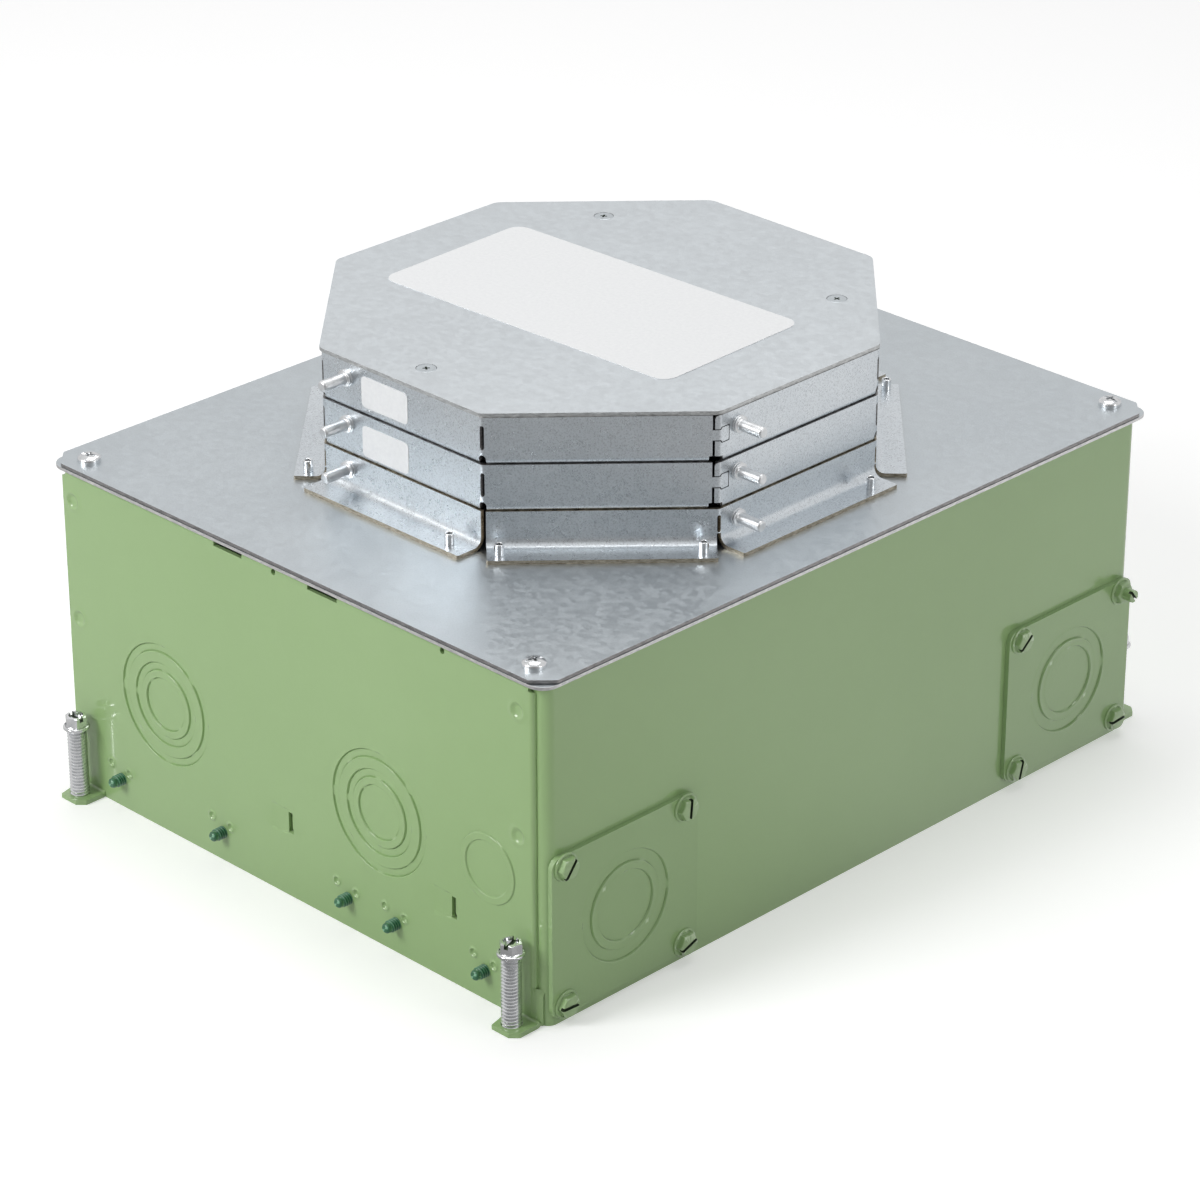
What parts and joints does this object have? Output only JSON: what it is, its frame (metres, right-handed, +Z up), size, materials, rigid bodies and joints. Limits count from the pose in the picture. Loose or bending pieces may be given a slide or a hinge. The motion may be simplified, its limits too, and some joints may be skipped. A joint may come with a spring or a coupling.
{
  "type": "floor socket box",
  "caption": "Steel floor box for casting into a concrete slab: knockout walls, levelling feet, flat lid plates and a stacked octagonal pour collar with a cover.",
  "frame": {"origin": "centre of the box in plan, on the underside of the floor", "axes": "+Z up; +X across the short end, towards a long side; +Y along the long side; the front end panel faces -Y"},
  "size_m": [0.28, 0.3564, 0.1972],
  "materials": {
    "green_enamel": "glossy green enamel with a slight orange peel",
    "green_painted_screws": "screws painted over with the box, same green enamel",
    "dark_green_screws": "glossy dark green ground screws",
    "galvanised_sheet": "galvanised steel sheet with a fine spangle",
    "bright_zinc": "bright zinc plating",
    "label_stock": "bare white label"
  },
  "bodies": {
    "box": {"body_channel": "green_enamel", "front_end_panel": "green_enamel", "rear_end_panel": "green_enamel", "front_ground_screws": "dark_green_screws", "rear_ground_screws": "dark_green_screws", "left_partition": "green_enamel", "right_partition": "green_enamel", "foot_bracket_front_left": "green_enamel", "foot_bracket_front_right": "green_enamel", "foot_bracket_rear_left": "green_enamel", "foot_bracket_rear_right": "green_enamel"},
    "lid": {"lower_lid_plate": "galvanised_sheet", "upper_lid_plate": "galvanised_sheet", "lid_screws": "bright_zinc", "collar_base_ring": "galvanised_sheet", "collar_set_screws": "bright_zinc", "base_ring_studs": "bright_zinc"},
    "lower_ring": {"lower_extension_ring": "galvanised_sheet", "lower_ring_studs": "bright_zinc", "lower_ring_label": "label_stock"},
    "upper_ring": {"upper_extension_ring": "galvanised_sheet", "upper_ring_studs": "bright_zinc", "upper_ring_label": "label_stock"},
    "cover": {"pour_cover": "galvanised_sheet", "cover_screws": "bright_zinc", "cover_label": "label_stock"},
    "foot_screw_front_left": {"levelling_screw_front_left": "bright_zinc"},
    "side_plate_front_left": {"knockout_plate_front_left": "green_enamel", "plate_screws_front_left": "green_painted_screws"},
    "foot_screw_front_right": {"levelling_screw_front_right": "bright_zinc"},
    "side_plate_front_right": {"knockout_plate_front_right": "green_enamel", "plate_screws_front_right": "green_painted_screws"},
    "foot_screw_rear_left": {"levelling_screw_rear_left": "bright_zinc"},
    "side_plate_rear_left": {"knockout_plate_rear_left": "green_enamel", "plate_screws_rear_left": "green_painted_screws"},
    "foot_screw_rear_right": {"levelling_screw_rear_right": "bright_zinc"},
    "side_plate_rear_right": {"knockout_plate_rear_right": "green_enamel", "plate_screws_rear_right": "green_painted_screws"}
  },
  "joints": [
    {"name": "lid_lift", "type": "slide", "parent": "box", "child": "lid", "axis": [0, 0, 1], "range_m": [0, 0.06]},
    {"name": "lower_ring_lift", "type": "slide", "parent": "lid", "child": "lower_ring", "axis": [0, 0, 1], "range_m": [0, 0.04]},
    {"name": "upper_ring_lift", "type": "slide", "parent": "lower_ring", "child": "upper_ring", "axis": [0, 0, 1], "range_m": [0, 0.04]},
    {"name": "cover_lift", "type": "slide", "parent": "upper_ring", "child": "cover", "axis": [0, 0, 1], "range_m": [0, 0.06]},
    {"name": "foot_screw_travel_front_left", "type": "slide", "parent": "box", "child": "foot_screw_front_left", "axis": [0, 0, 1], "range_m": [-0.026, 0]},
    {"name": "foot_screw_travel_front_right", "type": "slide", "parent": "box", "child": "foot_screw_front_right", "axis": [0, 0, 1], "range_m": [-0.026, 0]},
    {"name": "foot_screw_travel_rear_left", "type": "slide", "parent": "box", "child": "foot_screw_rear_left", "axis": [0, 0, 1], "range_m": [-0.026, 0]},
    {"name": "foot_screw_travel_rear_right", "type": "slide", "parent": "box", "child": "foot_screw_rear_right", "axis": [0, 0, 1], "range_m": [-0.026, 0]},
    {"name": "side_plate_pull_front_left", "type": "slide", "parent": "box", "child": "side_plate_front_left", "axis": [-1, 0, 0], "range_m": [0, 0.02]},
    {"name": "side_plate_pull_front_right", "type": "slide", "parent": "box", "child": "side_plate_front_right", "axis": [1, 0, 0], "range_m": [0, 0.02]},
    {"name": "side_plate_pull_rear_left", "type": "slide", "parent": "box", "child": "side_plate_rear_left", "axis": [-1, 0, 0], "range_m": [0, 0.02]},
    {"name": "side_plate_pull_rear_right", "type": "slide", "parent": "box", "child": "side_plate_rear_right", "axis": [1, 0, 0], "range_m": [0, 0.02]}
  ]
}
